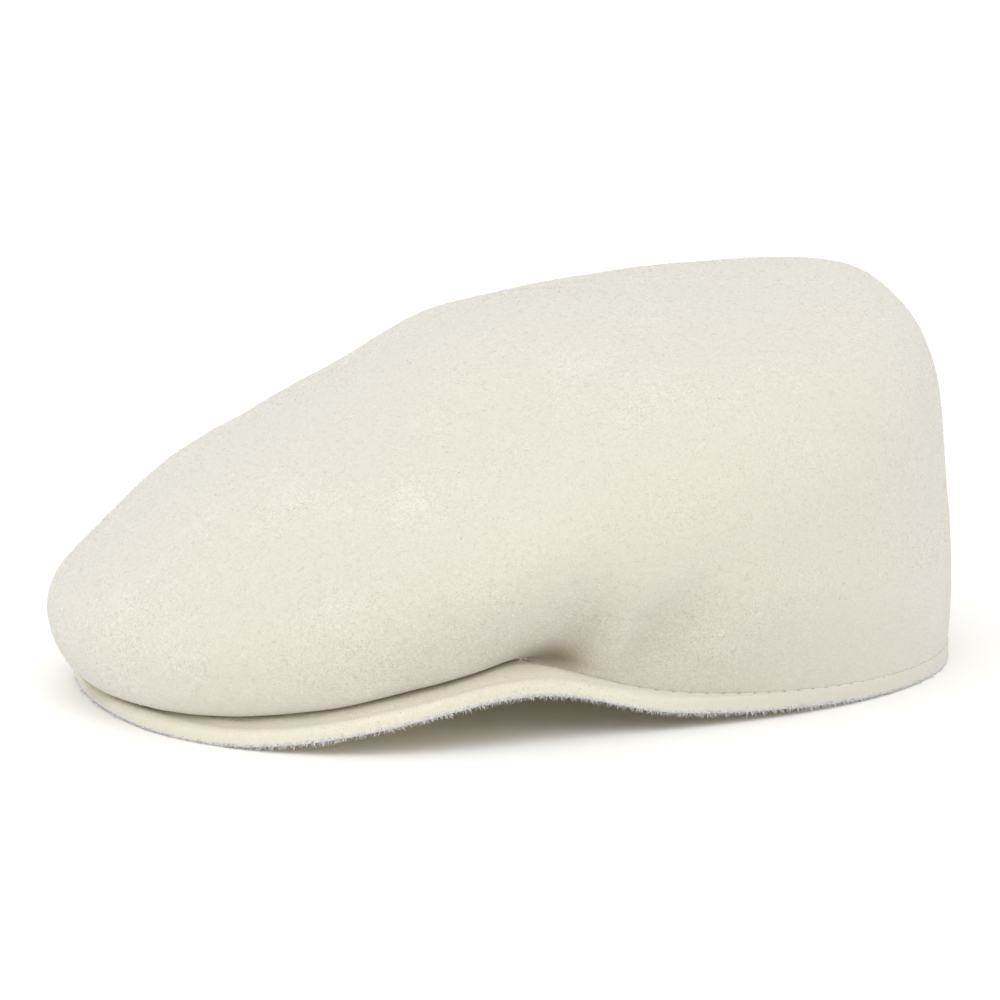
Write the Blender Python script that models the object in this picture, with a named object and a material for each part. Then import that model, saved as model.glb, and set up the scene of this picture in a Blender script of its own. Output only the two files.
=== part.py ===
"""A moulded wool felt flat cap: a hollow one-piece crown and the stiff peak that it overhangs.

Metres, +Z up, the peak towards -Y and the wearer's left towards +X. The cap rests on the plane z = 0.
Every station is a vertical plane through the middle of the head opening, turned by its angle from the front.
"""

import bmesh
import bpy
import numpy as np

MM = 0.001

# sizes in millimetres; the angles below are in degrees from the front
HEAD_CENTRE_Y = 26.0
FELT = 2.6
SEAT_GAP = 0.3
FOLD_RISE = 6.0
PEAK_MARGIN = 2.5
PEAK_CAMBER = 1.0
EDGE_HEIGHT = 4.7
EDGE_ROUNDING = 0.6

# the top of the crown: a shallow tilted dome round the pole
POLE_HEIGHT = 104.0
CREST_RADIUS = 42.0
TOP_SLOPE = 0.1
CREST_DROP_LENGTHWISE = 3.0
CREST_DROP_CROSSWISE = 4.5

# the raw-cut edge, and the line where the crown's wall meets the peak or the rim's stitching
RIM_COLUMNS = ("angle", "edge_r", "edge_z", "foot_r", "foot_z")
RIM = (
    (0, 151.5, 1.5, 102.0, 26.0),
    (20, 149.0, -1.6, 101.0, 25.0),
    (36, 136.0, 6.8, 98.0, 23.0),
    (48, 114.0, 14.0, 95.0, 20.3),
    (58, 102.0, 12.2, 93.0, 16.0),
    (70, 95.0, 4.5, 91.0, 10.0),
    (90, 90.0, 2.4, 89.3, 7.0),
    (118, 93.4, 0.0, 93.0, 4.9),
    (150, 103.1, 0.0, 102.8, 4.7),
    (180, 105.8, 0.0, 105.5, 4.7),
)

# the wall of the crown, from where it tucks under itself up to the shoulder of the top
WALL_COLUMNS = (
    "angle",
    *("under_r", "under_z", "lip_r", "lip_z", "nose_r", "nose_z", "cheek_r", "cheek_z"),
    *("brow_r", "brow_z", "shoulder_r", "shoulder_z"),
)
WALL = (
    (0, 132, 16.0, 152, 0.3, 165, 28, 144, 40, 119, 61, 88, 72),
    (20, 129, 12.0, 146, -1.0, 158, 27, 139, 39, 115, 62, 87, 71),
    (36, 117, 15.5, 130, 12.0, 141, 29, 130, 45, 109, 61, 83, 72),
    (48, 103, 20.0, 108, 21.0, 119, 35, 117, 50, 103, 65, 79, 75),
    (58, 93, 21.0, 95, 28.0, 106, 41, 109, 56, 98, 71, 77, 80),
    (70, 91, 17.0, 94, 28.0, 100, 43, 102, 59, 94, 76, 75, 87),
    (90, 90, 16.0, 94, 30.0, 98, 46, 100, 63, 93, 80, 76, 93),
    (118, 94, 16.0, 97, 32.0, 99, 49, 100, 69, 94, 87, 76, 99),
    (150, 104, 16.0, 103, 34.0, 100, 54, 99, 75, 95, 95, 77, 109),
    (180, 107, 16.0, 106, 36.0, 103, 58, 101, 79, 98, 98, 79, 113),
)
WALL_POINTS = ("foot", "under", "lip", "nose", "cheek", "brow", "shoulder")

# dents go in and ridges, with a negative depth, come out; each lies on both sides of the cap
FOLD_COLUMNS = ("angle", "height", "length", "width", "tilt", "depth")
FOLDS = (
    (55.5, 23, 11, 6, 55, 5.0),
    (63.5, 23, 8, 5, 75, -1.2),
    (72.0, 32, 20, 6, 45, 1.8),
    (45.0, 52, 22, 6, 70, 0.7),
    (30.0, 52, 20, 6, 65, 0.6),
)

STEPS_PER_STATION = 5
ROWS_PER_POINT = 3
PEAK_ROWS = 7
# steps where the peak ends, where the wall last sits on it, and where the rim begins
PEAK_END = 3.6
WALL_END = 3.605
HEM_START = 3.63
SHARP_DEGREES = 50


def named_columns(names, rows):
    """The columns of a table by name."""
    return dict(zip(names, np.array(rows, float).T))


def spline_weights(steps, count):
    """The share that each control point has in a cubic B-spline, at steps from 0 to count - 1.

    The control points are the count points of the table with one more before and one more after them.
    """
    first = np.clip(np.floor(steps).astype(int), 0, count - 2)
    f = steps - first
    shares = ((1 - f) ** 3, 3 * f**3 - 6 * f**2 + 4, 1 + 3 * f + 3 * f**2 - 3 * f**3, f**3)
    weights = np.zeros((len(steps), count + 2))
    for offset, share in enumerate(shares):
        weights[np.arange(len(steps)), first + offset] = share / 6
    return weights


def sections_at(steps):
    """Every named size at each step round the head, where step k is station k and the far half is mirrored."""
    count = len(RIM)
    weights = spline_weights(np.abs(steps), count)
    sizes = {}
    for names, rows in ((RIM_COLUMNS, RIM), (WALL_COLUMNS, WALL)):
        for name, column in named_columns(names, rows).items():
            before, after = column[1], column[-2]
            if name == "angle":
                before, after = -column[1], 360 - column[-2]
            sizes[name] = weights @ np.concatenate(([before], column, [after]))
    sizes["angle"] = np.copysign(np.radians(sizes["angle"]), steps)
    sizes["edge_z"] = np.maximum(sizes["edge_z"], 0)
    return sizes


def crest_drop(angle):
    """How far the top has fallen at the crest ring, more to the sides than to the front and back."""
    return CREST_DROP_LENGTHWISE * np.cos(angle) ** 2 + CREST_DROP_CROSSWISE * np.sin(angle) ** 2


def crest_height(angle):
    """The height of the crest ring, which the tilt of the top raises behind."""
    return POLE_HEIGHT - TOP_SLOPE * CREST_RADIUS * np.cos(angle) - crest_drop(angle)


def folded(angle, radius, height, foot):
    """The radius with the dents and ridges pressed into it: each is a bell of its own length and width.

    They fade out towards the foot, which stays on its line.
    """
    rise = np.clip((height - foot) / FOLD_RISE, 0, 1)
    rise = rise * rise * (3 - 2 * rise)
    for row in FOLDS:
        fold = dict(zip(FOLD_COLUMNS, row))
        along = np.radians(np.degrees(np.abs(angle)) - fold["angle"]) * radius
        up = height - fold["height"]
        turn = np.radians(fold["tilt"])
        lengthwise = (along * np.cos(turn) + up * np.sin(turn)) / fold["length"]
        crosswise = (up * np.cos(turn) - along * np.sin(turn)) / fold["width"]
        radius = radius - rise * fold["depth"] * np.exp(-(lengthwise**2) - crosswise**2)
    return radius


def wall_profiles(sizes):
    """Radius and height of the crown's outer wall, a row for each step and a column for each row of points."""
    angle = sizes["angle"]
    crest = np.full_like(angle, CREST_RADIUS)
    radii = [sizes[f"{name}_r"] for name in WALL_POINTS] + [crest, 0 * crest, -crest]
    heights = [sizes[f"{name}_z"] for name in WALL_POINTS]
    heights += [crest_height(angle), POLE_HEIGHT + crest_drop(angle) / 2, crest_height(angle + np.pi)]
    radii.insert(0, 2 * radii[0] - radii[1])
    heights.insert(0, 2 * heights[0] - heights[1])
    count = len(WALL_POINTS) + 2
    steps = np.linspace(0, count - 1, (count - 1) * ROWS_PER_POINT + 1)[:-1]
    weights = spline_weights(steps, count)
    radius = np.array(radii).T @ weights.T
    height = np.array(heights).T @ weights.T
    return folded(angle[:, None], radius, height, sizes["foot_z"][:, None]), height


def peak_top(sizes, radius):
    """Height of the peak's upper face at a radius: a straight fall from the crown's foot, slightly cambered."""
    inner, outer = sizes["foot_r"][:, None], sizes["edge_r"][:, None] - EDGE_ROUNDING
    high = sizes["foot_z"][:, None] - SEAT_GAP
    low = sizes["edge_z"][:, None] + EDGE_HEIGHT
    share = (radius - inner) / (outer - inner)
    return high + (low - high) * share + PEAK_CAMBER * 4 * np.clip(share, 0, 1) * (1 - np.clip(share, 0, 1))


def placed(angle, radius, height):
    """Points in metres round the head's centre."""
    turned = (radius * np.sin(angle), -radius * np.cos(angle), height + 0 * radius)
    return np.stack(turned, axis=-1) * MM


def inward_normals(points):
    """Unit normals into the cap, for rings of points that run from the foot to the pole."""
    along = np.gradient(points, axis=1)
    ahead, behind = np.roll(points, -1, axis=0), np.roll(points, 1, axis=0)
    normals = np.cross(along, ahead - behind)
    return normals / np.linalg.norm(normals, axis=-1, keepdims=True)


def mesh_object(name, points, faces, material, parent):
    """A smooth closed object from points and faces, with its origin at the middle of the head opening."""
    mesh = bpy.data.meshes.new(name)
    mesh.from_pydata(points.tolist(), [], faces)
    shape = bmesh.new()
    shape.from_mesh(mesh)
    bmesh.ops.recalc_face_normals(shape, faces=shape.faces)
    shape.to_mesh(mesh)
    shape.free()
    mesh.shade_smooth()
    mesh.set_sharp_from_angle(angle=np.radians(SHARP_DEGREES))
    mesh.materials.append(material)
    made = bpy.data.objects.new(name, mesh)
    bpy.context.scene.collection.objects.link(made)
    made.location.y = HEAD_CENTRE_Y * MM
    made.parent = parent
    return made


def felt_material(name, colour, roughness):
    """Cream wool felt."""
    material = bpy.data.materials.new(name)
    material.use_nodes = True
    shader = material.node_tree.nodes["Principled BSDF"]
    shader.inputs["Base Color"].default_value = (*colour, 1)
    shader.inputs["Roughness"].default_value = roughness
    shader.inputs["Metallic"].default_value = 0
    return material


def crown_steps():
    """Steps round the whole head, with a close pair where the wall steps down from the peak to the rim."""
    stations = len(RIM) - 1
    half = np.linspace(0, stations, stations * STEPS_PER_STATION + 1)
    half = half[np.abs(half - HEM_START) > 0.5 / STEPS_PER_STATION]
    half = np.sort(np.concatenate((half, (WALL_END, HEM_START))))
    return np.concatenate((-half[-2:0:-1], half))


def rim_rows(sizes, outer_foot, inner_foot):
    """The rows that close the wall at its foot.

    Over the peak they divide the cut end of the felt. Behind the peak they make the ledge and the rim below
    the stitch line, down to the raw edge.
    """
    angle = sizes["angle"]
    edge_r, edge_z = sizes["edge_r"], sizes["edge_z"]
    hem = (
        (edge_r - EDGE_ROUNDING, edge_z + EDGE_HEIGHT),
        (edge_r, edge_z + EDGE_HEIGHT / 2),
        (edge_r - EDGE_ROUNDING, edge_z),
        (sizes["foot_r"] - FELT, edge_z),
    )
    rows = []
    for index, (radius, height) in enumerate(hem):
        share = (index + 1) / (len(hem) + 1)
        cut_end = outer_foot + (inner_foot - outer_foot) * share
        rows.append(np.where(sizes["is_rim"][:, None], placed(angle, radius, height), cut_end))
    return np.stack(rows, axis=1)


def above_peak(points, sizes):
    """The points over the peak, lifted where they would sink into it."""
    radius = np.hypot(points[..., 0], points[..., 1]) / MM
    floor = (peak_top(sizes, radius) + SEAT_GAP) * MM
    on_peak = (~sizes["is_rim"])[:, None] & (radius < sizes["edge_r"][:, None])
    lifted = points.copy()
    lifted[..., 2] = np.where(on_peak, np.maximum(points[..., 2], floor), points[..., 2])
    return lifted


def build_crown(material, parent):
    """The hollow felt crown: its outer wall, the rim, and the same wall again one thickness further in."""
    steps = crown_steps()
    sizes = sections_at(steps)
    sizes["is_rim"] = np.abs(steps) >= HEM_START
    radius, height = wall_profiles(sizes)
    outer = placed(sizes["angle"][:, None], radius, height)
    inner = outer + inward_normals(outer) * FELT * MM
    outer, inner = above_peak(outer, sizes), above_peak(inner, sizes)
    rim = rim_rows(sizes, outer[:, 0], inner[:, 0])
    rings = np.concatenate((outer[:, ::-1], rim, inner), axis=1)
    columns, rows = rings.shape[:2]
    poles = np.array([[0, 0, POLE_HEIGHT], [0, 0, POLE_HEIGHT - FELT]]) * MM
    points = np.concatenate((rings.reshape(-1, 3), poles))
    faces = []
    for column in range(columns):
        here, there = column * rows, (column + 1) % columns * rows
        for row in range(rows - 1):
            faces.append((here + row, here + row + 1, there + row + 1, there + row))
        faces.append((columns * rows, here, there))
        faces.append((columns * rows + 1, there + rows - 1, here + rows - 1))
    return mesh_object("crown", points, faces, material, parent)


def build_peak(material, parent):
    """The peak: a curved plate from inside the crown's foot to the raw-cut edge."""
    count = round(2 * PEAK_END * STEPS_PER_STATION) + 1
    sizes = sections_at(np.linspace(-PEAK_END, PEAK_END, count))
    inner = sizes["foot_r"] - PEAK_MARGIN
    outer = sizes["edge_r"] - EDGE_ROUNDING
    share = np.linspace(0, 1, PEAK_ROWS)
    radius = inner[:, None] + (outer - inner)[:, None] * share
    top = peak_top(sizes, radius)
    bottom = top - EDGE_HEIGHT
    middle = sizes["edge_z"][:, None] + EDGE_HEIGHT / 2
    loop_radius = np.hstack((radius, sizes["edge_r"][:, None], radius[:, ::-1]))
    loop_height = np.hstack((top, middle, bottom[:, ::-1]))
    loops = placed(sizes["angle"][:, None], loop_radius, loop_height)
    rows = loops.shape[1]
    faces = [tuple(range(rows)), tuple(range((count - 1) * rows, count * rows))]
    for column in range(count - 1):
        here, there = column * rows, (column + 1) * rows
        for row in range(rows):
            after = (row + 1) % rows
            faces.append((here + row, here + after, there + after, there + row))
    return mesh_object("peak", loops.reshape(-1, 3), faces, material, parent)


def main():
    for leftover in list(bpy.data.objects):
        bpy.data.objects.remove(leftover)
    cap = bpy.data.objects.new("flat_cap", None)
    bpy.context.scene.collection.objects.link(cap)
    build_crown(felt_material("crown_felt", (0.82, 0.79, 0.68), 0.95), cap)
    build_peak(felt_material("peak_felt", (0.80, 0.76, 0.64), 0.95), cap)


main()
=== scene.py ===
"""A cream wool felt flat cap on a pale floor, built the way the real one is moulded and sewn.

The crown is one shell of pressed wool felt. It overhangs a short stiff peak, tucks back over it to a hidden
seam, and behind the peak its wall runs down to a raw-cut rim with one row of stitches round it. Everything is
in metres, +Z up, the peak towards -Y, and the cap rests on the plane z = 0.
"""

import logging
from collections.abc import Mapping, Sequence
from dataclasses import dataclass, field
from enum import Enum

import bpy
import numpy as np
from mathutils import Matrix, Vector


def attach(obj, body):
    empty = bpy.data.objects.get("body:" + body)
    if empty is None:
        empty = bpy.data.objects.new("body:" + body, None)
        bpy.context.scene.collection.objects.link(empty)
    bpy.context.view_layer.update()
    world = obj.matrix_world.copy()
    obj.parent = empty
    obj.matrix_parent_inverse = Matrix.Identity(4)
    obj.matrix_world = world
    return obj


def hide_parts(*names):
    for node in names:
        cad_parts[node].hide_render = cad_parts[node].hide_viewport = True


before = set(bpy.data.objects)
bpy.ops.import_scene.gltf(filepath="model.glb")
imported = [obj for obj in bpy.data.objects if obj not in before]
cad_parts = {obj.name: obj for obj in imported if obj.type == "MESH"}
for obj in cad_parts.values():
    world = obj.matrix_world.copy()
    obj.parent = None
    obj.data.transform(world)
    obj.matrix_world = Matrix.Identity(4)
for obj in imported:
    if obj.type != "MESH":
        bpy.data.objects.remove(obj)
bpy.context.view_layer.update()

LOG = logging.getLogger("flat_cap")
MM = 0.001
# Millimetres from one stitch to the next, before the row is divided evenly.
STITCH_PITCH = 4.8
# A place this many millimetres from the seam gets no needle hole.
OFF_SEAM = 9.0
# The inputs of a node that maps one range of values to another.
RAMP = ("Value", "From Min", "From Max", "To Min", "To Max")

Sizes = dict[str, np.ndarray]

# The raw-cut edge, and the line where the crown's wall meets the peak or the rim's stitching.
# A row for each station round the head, by its angle from the front; radii and heights are in millimetres.
RIM_COLUMNS = ("angle", "edge_r", "edge_z", "foot_r", "foot_z")
RIM = (
    (0, 151.5, 1.5, 102.0, 26.0),
    (20, 149.0, -1.6, 101.0, 25.0),
    (36, 136.0, 6.8, 98.0, 23.0),
    (48, 114.0, 14.0, 95.0, 20.3),
    (58, 102.0, 12.2, 93.0, 16.0),
    (70, 95.0, 4.5, 91.0, 10.0),
    (90, 90.0, 2.4, 89.3, 7.0),
    (118, 93.4, 0.0, 93.0, 4.9),
    (150, 103.1, 0.0, 102.8, 4.7),
    (180, 105.8, 0.0, 105.5, 4.7),
)

# The wall of the crown, from where it tucks under itself up to the shoulder of the top.
WALL_COLUMNS = (
    "angle",
    *("under_r", "under_z", "lip_r", "lip_z", "nose_r", "nose_z", "cheek_r", "cheek_z"),
    *("brow_r", "brow_z", "shoulder_r", "shoulder_z"),
)
WALL = (
    (0, 132, 16.0, 151.5, -3.5, 165, 28, 144, 40, 119, 61, 88, 72),
    (20, 129, 12.0, 145, 1.0, 158, 27, 139, 39, 115, 62, 87, 71),
    (36, 117, 15.5, 129.5, 13.0, 141, 29, 130, 45, 109, 61, 83, 72),
    (48, 103, 20.0, 108, 21.0, 119, 35, 117, 50, 103, 65, 79, 75),
    (58, 93, 21.0, 95, 28.0, 106, 41, 109, 56, 98, 71, 77, 80),
    (70, 91, 17.0, 94, 28.0, 100, 43, 102, 59, 94, 76, 75, 87),
    (90, 90, 16.0, 94, 30.0, 98, 46, 100, 63, 93, 80, 76, 93),
    (118, 94, 16.0, 97, 32.0, 99, 49, 100, 69, 94, 87, 76, 99),
    (150, 104, 16.0, 103, 34.0, 100, 54, 99, 75, 95, 95, 77, 109),
    (180, 107, 16.0, 106, 36.0, 103, 58, 101, 79, 98, 98, 79, 113),
)
WALL_POINTS = ("foot", "under", "lip", "nose", "cheek", "brow", "shoulder")

# Dents go in and ridges, with a negative depth, come out; each lies on both sides of the cap.
FOLD_COLUMNS = ("angle", "height", "length", "width", "tilt", "depth")
FOLDS = (
    (53.0, 16.5, 9, 7.5, 36, 5.5),
    (57.0, 28, 13, 6.0, 62, 4.6),
    (64.5, 22, 9, 4.5, 72, -1.9),
    (73.5, 29, 17, 8.0, 44, 5.4),
    (31.0, 12, 18, 6.0, 0, -1.2),
    (45.0, 52, 22, 6.0, 70, 0.8),
    (30.0, 52, 20, 6.0, 65, 0.7),
)

# Where hand blocking left the far side of the top fuller or flatter, by place in plan.
SWELL_COLUMNS = ("x", "y", "reach", "rise")
SWELLS = (
    (-69, -66, 22, 1.3),
    (-78, -12, 16, -1.3),
    (-68, 12, 10, 0.9),
    (-55, 62, 12, -0.7),
    (-33, 88, 20, -1.4),
    (8, 108, 14, 1.0),
    (42, 112, 12, -0.5),
)


def named_columns(names: Sequence[str], rows: Sequence[Sequence[float]]) -> Sizes:
    """The columns of a table as arrays, by their names."""
    return dict(zip(names, np.array(rows, float).T))


def eased(value: np.ndarray, start: float | np.ndarray = 0.0, length: float | np.ndarray = 1.0) -> np.ndarray:
    """An S curve from 0 to 1: three times the square less twice the cube of the share of its length.

    Args:
        value: where along it.
        start: the value at which it leaves 0.
        length: how much further on it reaches 1.

    Returns:
        The height of the curve.
    """
    held = np.clip((value - start) / length, 0, 1)
    return held * held * (3 - 2 * held)


def spline_weights(steps: np.ndarray, count: int) -> np.ndarray:
    """Shares of the control points in a cubic B-spline.

    With f the part of a step past its whole number, the four shares are one sixth of (1 - f) cubed,
    3f^3 - 6f^2 + 4, 1 + 3f + 3f^2 - 3f^3, and f cubed.

    Args:
        steps: places along the spline, from 0 to count - 1.
        count: how many points the table has. One more control point stands before them and one after.

    Returns:
        A row for each step and a column for each control point.
    """
    first = np.clip(np.floor(steps).astype(int), 0, count - 2)
    f = steps - first
    shares = ((1 - f) ** 3, 3 * f**3 - 6 * f**2 + 4, 1 + 3 * f + 3 * f**2 - 3 * f**3, f**3)
    weights = np.zeros((len(steps), count + 2))
    for offset, share in enumerate(shares):
        weights[np.arange(len(steps)), first + offset] = share / 6
    return weights


def unit(vectors: np.ndarray) -> np.ndarray:
    """The vectors at length one."""
    return vectors / np.maximum(np.linalg.norm(vectors, axis=-1, keepdims=True), 1e-12)


@dataclass(frozen=True)
class Bell:
    """A change that is greatest at one angle or place and dies out on both sides of it."""

    most: float
    middle: float
    width: float

    def at(self, places: np.ndarray) -> np.ndarray:
        """The most times e to the minus square of the distance from the middle over the width."""
        return self.most * np.exp(-(((places - self.middle) / self.width) ** 2))


@dataclass(frozen=True)
class SoftNoise:
    """Smooth random relief in space, from a fixed seed.

    A random value stands at each corner of a cubic lattice, and between the corners the eight nearest are
    blended with S curves.
    """

    spacing_mm: float
    height_mm: float
    seed: int
    lattice_size: int = 48

    def at(self, points: np.ndarray) -> np.ndarray:
        """Reads the relief.

        Args:
            points: places in metres, with x, y and z on the last axis.

        Returns:
            Millimetres, from about minus the height to the height, for each place.
        """
        lattice = np.random.default_rng(self.seed).uniform(-1, 1, (self.lattice_size,) * 3)
        place = points / (self.spacing_mm * MM)
        low = np.floor(place).astype(int)
        share = eased(place - low)
        total = np.zeros(points.shape[:-1])
        for corner in np.ndindex(2, 2, 2):
            weight = np.prod(np.where(np.array(corner) == 1, share, 1 - share), axis=-1)
            index = (low + np.array(corner)) % self.lattice_size
            total += weight * lattice[index[..., 0], index[..., 1], index[..., 2]]
        return self.height_mm * total


@dataclass(frozen=True)
class CapShape:
    """The form that the felt is moulded to, in millimetres round the middle of the head opening."""

    head_centre_y: float = 26.0
    felt: float = 2.6
    seat_gap: float = 0.1
    fold_rise: float = 0.45
    lip_tuck: Bell = Bell(5.0, 49.5, 4.0)
    lip_inside_foot: float = 1.0
    lip_gap: float = 0.85
    lip_gap_reach: float = 7.0
    far_curl: Bell = Bell(2.6, -27.0, 15.0)
    far_pull: Bell = Bell(3.8, -10.0, 16.0)
    far_rounding: tuple[Bell, Bell] = (Bell(2.5, -27.0, 21.0), Bell(1.7, -27.0, 21.0))
    peak_margin: float = 2.5
    peak_camber: float = 1.0
    camber_width: float = 12.0
    narrowest: float = 0.05
    edge_height: float = 4.7
    across_share: float = 0.6
    across_limits: tuple[float, float] = (0.35, 3.0)
    down_share: float = 0.5
    down_limits: tuple[float, float] = (0.7, 2.3)
    low_corner: float = 0.4
    low_corner_turns: tuple[float, ...] = (18.0, 54.0, 90.0)
    cut_height: float = 1.3
    pole_height: float = 104.0
    crest_radius: float = 42.0
    top_slope: float = 0.1
    crest_drop_lengthwise: float = 3.0
    crest_drop_crosswise: float = 4.5

    def sections(self, steps: np.ndarray) -> Sizes:
        """Works out every named size at each step round the head.

        Step k is the table's row k, minus k is its mirror image, and a cubic B-spline runs between them.
        Then the lip is tucked in at the peak's end, and the far edge is curled up and drawn in.

        Args:
            steps: places round the head, from -9 to 9, with 0 at the front.

        Returns:
            The columns of both tables at those steps, the angle both in radians and in degrees.
        """
        weights = spline_weights(np.abs(steps), len(RIM))
        sizes: Sizes = {"step": steps}
        for names, rows in ((RIM_COLUMNS, RIM), (WALL_COLUMNS, WALL)):
            for name, column in named_columns(names, rows).items():
                before, after = column[1], column[-2]
                if name == "angle":
                    before, after = -column[1], 360 - column[-2]
                sizes[name] = weights @ np.concatenate(([before], column, [after]))
        tuck = self.lip_tuck.at(sizes["angle"])
        for name in ("lip_r", "under_r"):
            sizes[name] = np.maximum(sizes[name] - tuck, sizes["foot_r"] - self.lip_inside_foot)
        sizes["angle"] = np.copysign(np.radians(sizes["angle"]), steps)
        sizes["degrees"] = np.degrees(sizes["angle"])
        sizes["edge_z"] = np.maximum(sizes["edge_z"], 0) + self.far_curl.at(sizes["degrees"])
        sizes["edge_r"] = sizes["edge_r"] - self.far_pull.at(sizes["degrees"])
        return sizes

    def crest_drop(self, angle: np.ndarray) -> np.ndarray:
        """How far the top has fallen at the crest ring, more to the sides than to the front and back."""
        lengthwise = self.crest_drop_lengthwise * np.cos(angle) ** 2
        return lengthwise + self.crest_drop_crosswise * np.sin(angle) ** 2

    def crest_height(self, angle: np.ndarray) -> np.ndarray:
        """The height of the crest ring, which the tilt of the top raises behind."""
        tilt = self.top_slope * self.crest_radius * np.cos(angle)
        return self.pole_height - tilt - self.crest_drop(angle)

    def folded(
        self, angle: np.ndarray, radius: np.ndarray, height: np.ndarray, places: np.ndarray
    ) -> np.ndarray:
        """Presses the dents and ridges into the wall.

        Each is a bell: its depth times e to the minus square of the distance along it over its length, plus
        the same across it over its width. They fade out towards the foot, which stays on its line.

        Args:
            angle: the angle of each column, in radians.
            radius: the radii before the dents.
            height: the heights.
            places: how far each row is along the wall, counted in named points from the foot.

        Returns:
            The radii after them.
        """
        rise = eased(places, 0, self.fold_rise)
        for row in FOLDS:
            fold = dict(zip(FOLD_COLUMNS, row))
            along = np.radians(np.degrees(np.abs(angle)) - fold["angle"]) * radius
            up = height - fold["height"]
            turn = np.radians(fold["tilt"])
            lengthwise = (along * np.cos(turn) + up * np.sin(turn)) / fold["length"]
            crosswise = (up * np.cos(turn) - along * np.sin(turn)) / fold["width"]
            radius = radius - rise * fold["depth"] * np.exp(-(lengthwise**2) - crosswise**2)
        return radius

    def wall(self, sizes: Sizes, rows_per_point: int) -> tuple[np.ndarray, np.ndarray]:
        """Works out the crown's outer wall from the foot to just short of the pole, as a cubic B-spline.

        Args:
            sizes: the named sizes of each column.
            rows_per_point: how many rows of points there are from one named size to the next.

        Returns:
            Radius and height, a row for each column round the head and a column for each row of points.
        """
        angle = sizes["angle"]
        crest = np.full_like(angle, self.crest_radius)
        pole = self.pole_height + self.crest_drop(angle) / 2
        radii = [sizes[f"{name}_r"] for name in WALL_POINTS] + [crest, 0 * crest, -crest]
        heights = [sizes[f"{name}_z"] for name in WALL_POINTS]
        heights += [self.crest_height(angle), pole, self.crest_height(angle + np.pi)]
        radii.insert(0, 2 * radii[0] - radii[1])
        heights.insert(0, 2 * heights[0] - heights[1])
        count = len(WALL_POINTS) + 2
        places = np.linspace(0, count - 1, (count - 1) * rows_per_point + 1)[:-1]
        weights = spline_weights(places, count)
        radius = np.array(radii).T @ weights.T
        height = np.array(heights).T @ weights.T
        return self.folded(angle[:, None], radius, height, places[None, :]), height

    def edge_rounding(self, sizes: Sizes) -> tuple[np.ndarray, np.ndarray]:
        """Works out how much the edge's upper corner is rounded, more where it stands out and far off.

        Args:
            sizes: the named sizes of each column.

        Returns:
            How far in and how far down the rounding goes, for each column.
        """
        width = (sizes["edge_r"] - sizes["foot_r"])[:, None]
        far_across, far_down = (bell.at(sizes["degrees"])[:, None] for bell in self.far_rounding)
        across = np.clip(self.across_share * width, *self.across_limits) + far_across
        return across, np.clip(self.down_share * width, *self.down_limits) + far_down

    def top_height(self, sizes: Sizes, radius: np.ndarray) -> np.ndarray:
        """The height of the upper face of the peak or rim.

        It is a straight fall from the crown's foot with a slight camber, then a quarter of an ellipse down to
        the raw edge.

        Args:
            sizes: the named sizes of each column.
            radius: how far out each place is, a row for each column.

        Returns:
            Heights in the shape of radius.
        """
        across, down = self.edge_rounding(sizes)
        foot = sizes["foot_r"][:, None]
        high = sizes["foot_z"][:, None] - self.seat_gap
        low = np.minimum(sizes["edge_z"] + self.edge_height, sizes["foot_z"] - 2 * self.seat_gap)[:, None]
        width = np.maximum(sizes["edge_r"][:, None] - across - foot, self.narrowest)
        camber = self.peak_camber * np.clip(width / self.camber_width, 0, 1)
        held = np.clip((radius - foot) / width, 0, 1)
        beyond = np.clip((radius - foot - width) / across, 0, 1)
        fall = high + (low - high) * held + camber * 4 * held * (1 - held)
        return fall - down * (1 - np.sqrt(1 - beyond**2))

    def raw_edge(
        self, sizes: Sizes, tuck: np.ndarray, bottom: np.ndarray, turns: np.ndarray, downs: np.ndarray
    ) -> tuple[np.ndarray, np.ndarray]:
        """The raw edge from its upper corner down to its lower one, both rounded as quarter circles.

        Args:
            sizes: the named sizes of each column.
            tuck: how much smaller all round the edge is, for each column.
            bottom: the height of its under side.
            turns: degrees round the upper corner, one for each row.
            downs: shares of the way down the face, one for each row.

        Returns:
            Radius and height of each row.
        """
        edge = sizes["edge_r"][:, None]
        across, _ = self.edge_rounding(sizes)
        turn = np.radians(turns)[None, :]
        round_r = edge - across + (across - tuck) * np.sin(turn)
        round_z = self.top_height(sizes, edge - across + across * np.sin(turn)) - tuck
        last = round_z[:, -1:]
        face_z = last + (bottom + self.low_corner - last) * np.asarray(downs)[None, :]
        face_r = edge - tuck + 0 * face_z
        turn = np.radians(self.low_corner_turns)[None, :]
        low_r = edge - tuck - self.low_corner * (1 - np.cos(turn))
        low_z = bottom + self.low_corner * (1 - np.sin(turn))
        return np.hstack((round_r, face_r, low_r)), np.hstack((round_z, face_z, low_z))

    def placed(self, angle: np.ndarray, radius: np.ndarray, height: np.ndarray) -> np.ndarray:
        """Turns angle, radius and height round the head's middle to points in metres."""
        y = self.head_centre_y - radius * np.cos(angle)
        return np.stack((radius * np.sin(angle), y, height + 0 * radius), axis=-1) * MM

    def inward(self, points: np.ndarray) -> np.ndarray:
        """Works out normals from the cross product of the grid's two directions.

        Args:
            points: the wall, a row for each column round the head.

        Returns:
            Unit vectors into the cap.
        """
        along = np.gradient(points, axis=1)
        ahead, behind = np.roll(points, -1, axis=0), np.roll(points, 1, axis=0)
        return unit(np.cross(along, ahead - behind))


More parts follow.
